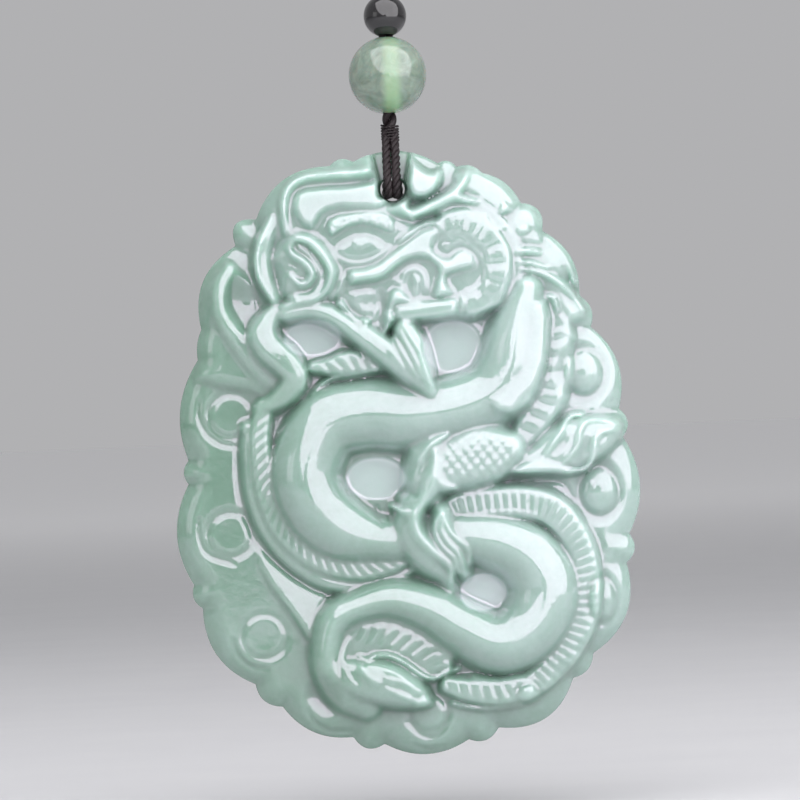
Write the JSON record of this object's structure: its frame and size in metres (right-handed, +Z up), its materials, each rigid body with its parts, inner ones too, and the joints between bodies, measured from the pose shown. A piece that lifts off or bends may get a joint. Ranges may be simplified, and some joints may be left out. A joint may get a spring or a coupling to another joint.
{
  "type": "jade dragon pendant on a beaded neck cord",
  "caption": "Scalloped jade plaque carved with a coiled dragon, hanging from a dark neck cord that runs through a round jade bead and a black bead.",
  "frame": {"origin": "middle of the neck cord's section where it lies on the nape of the neck", "axes": "+Z up, -Y the way the carved face looks, +X to the viewer's right when the carved face is seen"},
  "size_m": [0.1344, 0.1446, 0.2871],
  "materials": {
    "jade": "polished",
    "bead_jade": "polished",
    "black_stone": "polished",
    "dark_cord": "waxed"
  },
  "bodies": {
    "cord_and_beads": {"neck_cord": "dark_cord", "cord_loop": "dark_cord", "thread_binding": "dark_cord", "jade_bead": "bead_jade", "black_bead": "black_stone"},
    "plaque": {"jade_pendant": "jade"}
  },
  "joints": [
    {"name": "plaque_swing", "type": "hinge", "parent": "cord_and_beads", "child": "plaque", "pos_m": [0, -0.139, -0.22886], "axis": [0, 1, 0], "range_deg": [-12, 12]}
  ]
}
